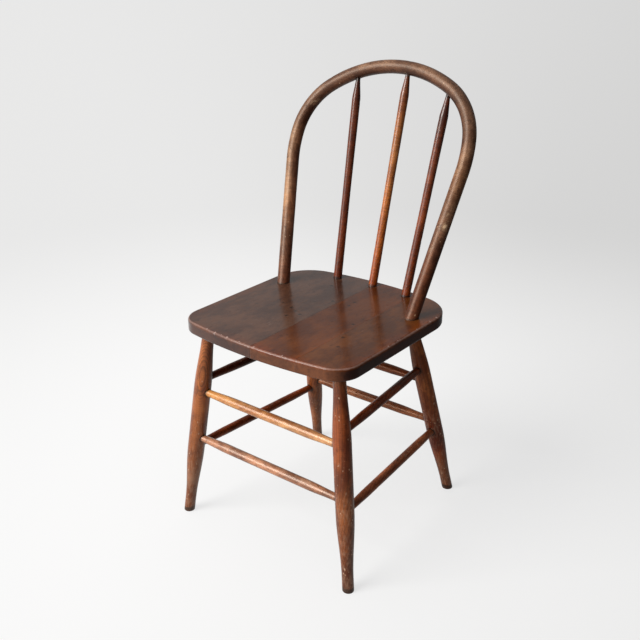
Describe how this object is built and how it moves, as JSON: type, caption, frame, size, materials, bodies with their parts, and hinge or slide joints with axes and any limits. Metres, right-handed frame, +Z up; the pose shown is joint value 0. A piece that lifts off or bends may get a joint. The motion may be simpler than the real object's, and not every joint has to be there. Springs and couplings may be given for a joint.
{
  "type": "hoop-back side chair",
  "caption": "Old wooden side chair with a flat plank seat, splayed turned legs joined by stretchers, and a bent hoop back with upright spindles.",
  "frame": {"origin": "on the floor, under the middle of the chair's outer box", "axes": "+Z up, -Y out of the front of the chair, +X to the right as seen from the front"},
  "size_m": [0.4636, 0.5014, 0.8967],
  "materials": {
    "seat_left_board": "worn dark varnish, satin to semi-gloss, with scuffs",
    "seat_middle_board": "worn dark varnish, satin to semi-gloss, with scuffs",
    "seat_right_board": "worn dark varnish, satin to semi-gloss, with scuffs",
    "leg_wood": "worn dark varnish, satin to semi-gloss, with scuffs",
    "front_stretcher_wood": "worn dark varnish, satin to semi-gloss, with scuffs",
    "stretcher_wood": "worn dark varnish, satin to semi-gloss, with scuffs",
    "hoop_wood": "worn dark varnish, satin to semi-gloss, with scuffs",
    "spindle_wood": "worn dark varnish, satin to semi-gloss, with scuffs"
  },
  "bodies": {
    "root": {"seat_board_left": "seat_left_board", "seat_board_middle": "seat_middle_board", "seat_board_right": "seat_right_board", "leg_front_left": "leg_wood", "leg_front_right": "leg_wood", "leg_back_left": "leg_wood", "leg_back_right": "leg_wood", "stretcher_front_upper": "front_stretcher_wood", "stretcher_front_lower": "front_stretcher_wood", "stretcher_back_upper": "stretcher_wood", "stretcher_back_lower": "stretcher_wood", "stretcher_left_upper": "stretcher_wood", "stretcher_left_lower": "stretcher_wood", "stretcher_right_upper": "stretcher_wood", "stretcher_right_lower": "stretcher_wood", "back_hoop": "hoop_wood", "spindle_left": "spindle_wood", "spindle_middle": "spindle_wood", "spindle_right": "spindle_wood"}
  },
  "joints": []
}
